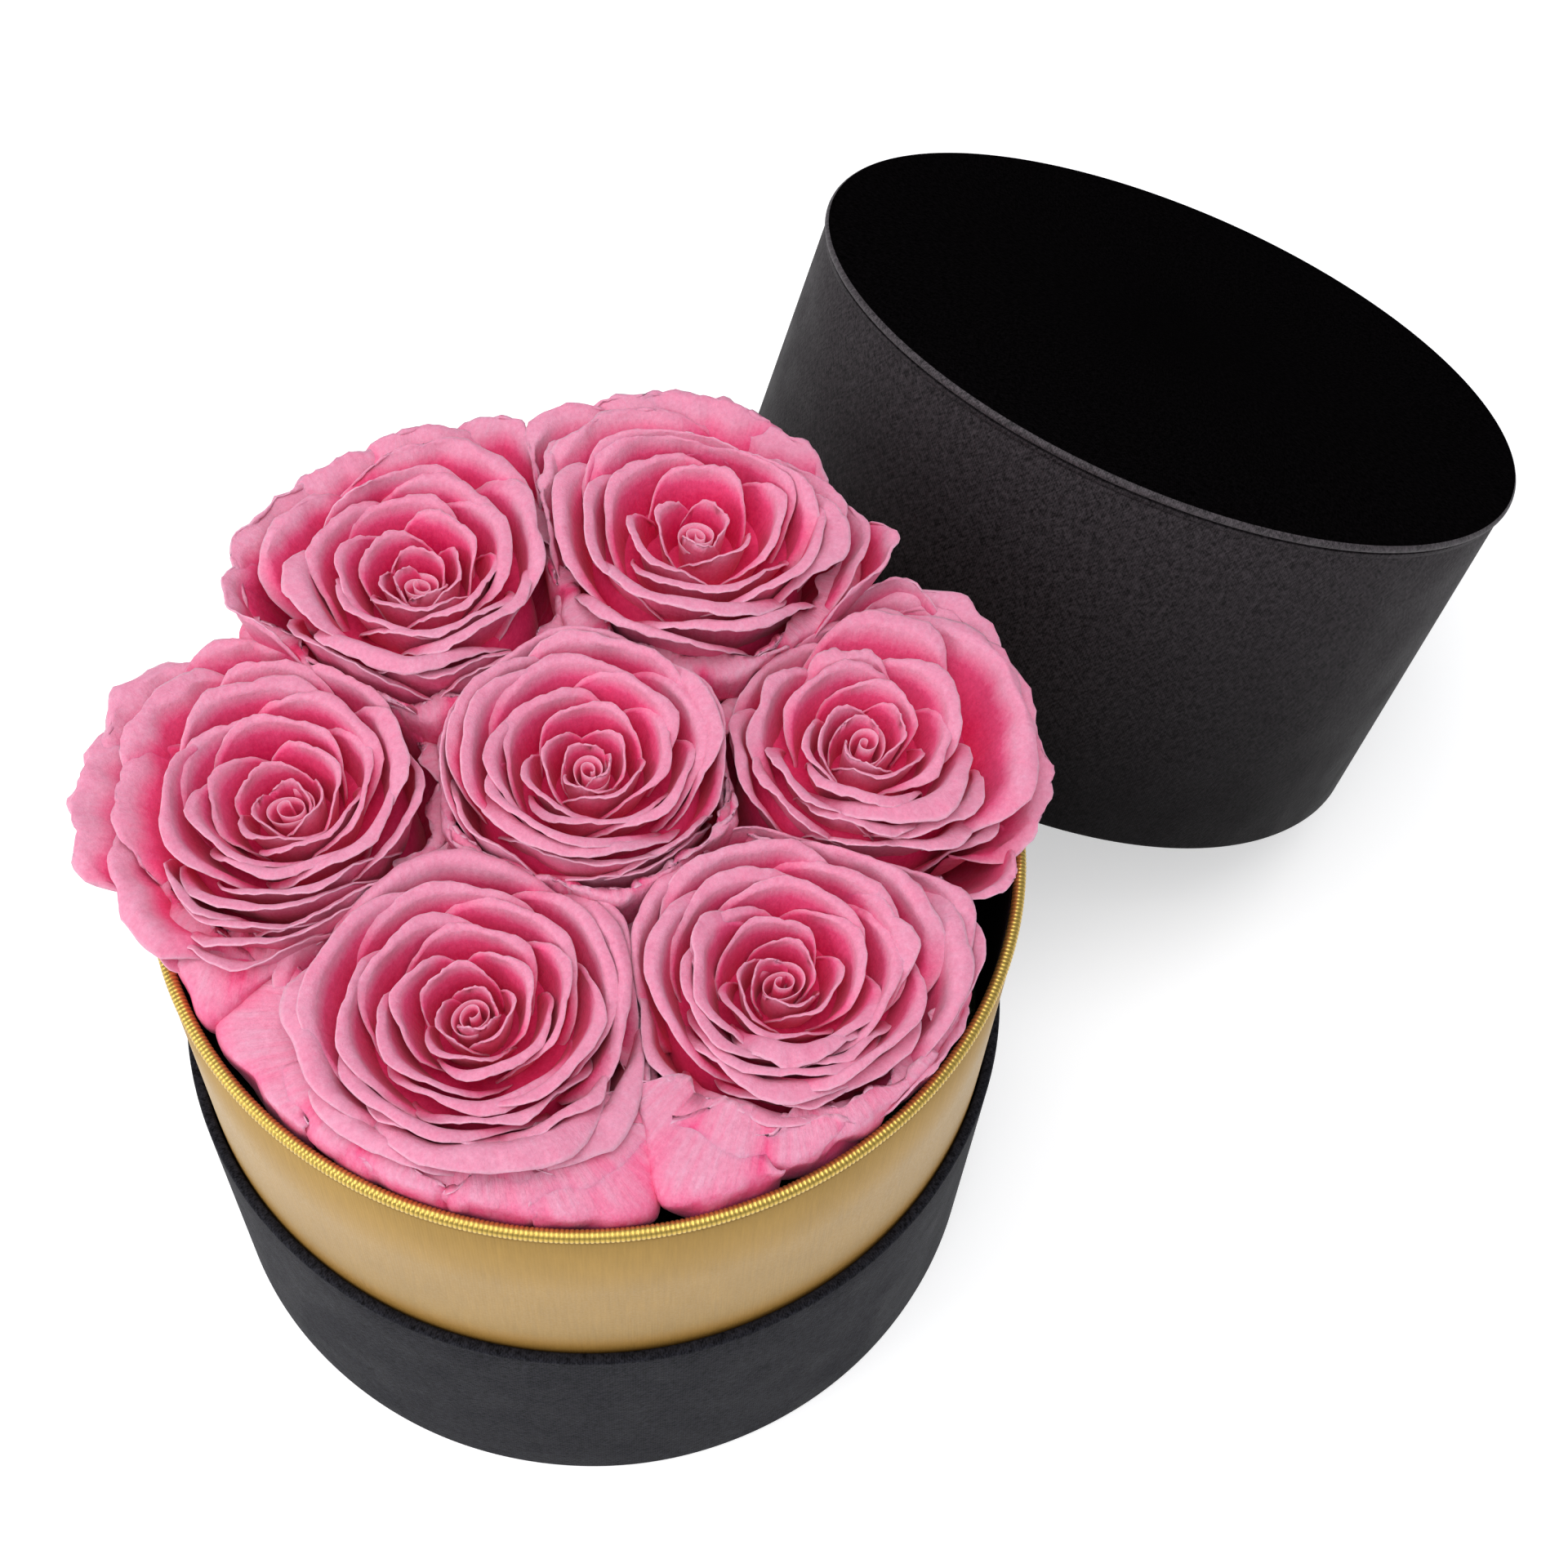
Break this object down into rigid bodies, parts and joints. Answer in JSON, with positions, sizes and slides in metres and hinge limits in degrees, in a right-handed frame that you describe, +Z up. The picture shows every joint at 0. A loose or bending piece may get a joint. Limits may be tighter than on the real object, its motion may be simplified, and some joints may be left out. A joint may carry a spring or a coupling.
{
  "type": "rose box",
  "caption": "Round satin gift box with a gold foil collar, filled with preserved pink rose heads on floral foam, its deep black lid taken off and leaning on the base.",
  "frame": {"origin": "middle of the base's underside, on the table", "axes": "+Z up, +X from the box towards the leaning lid"},
  "size_m": [0.326, 0.1601, 0.1331],
  "materials": {
    "black_satin": "satin book cloth over card",
    "lid_satin": "satin book cloth over card",
    "gold_foil_paper": "ribbed matt gold foil paper",
    "black_card": "matt",
    "floral_foam": "open foam",
    "rose_petal": "velvety preserved petal",
    "rose_green": "preserved calyx and stem"
  },
  "bodies": {
    "root": {"base_floor": "black_satin", "base_wall": "black_satin", "collar": "gold_foil_paper", "collar_lining": "black_card", "foam_block": "floral_foam", "bloom_left": "rose_petal", "stem_left": "rose_green", "bloom_back_left": "rose_petal", "stem_back_left": "rose_green", "bloom_back": "rose_petal", "stem_back": "rose_green", "bloom_centre": "rose_petal", "stem_centre": "rose_green", "bloom_right": "rose_petal", "stem_right": "rose_green", "bloom_front_left": "rose_petal", "stem_front_left": "rose_green", "bloom_front_right": "rose_petal", "stem_front_right": "rose_green", "lid_wall": "lid_satin", "lid_top": "lid_satin"}
  },
  "joints": []
}
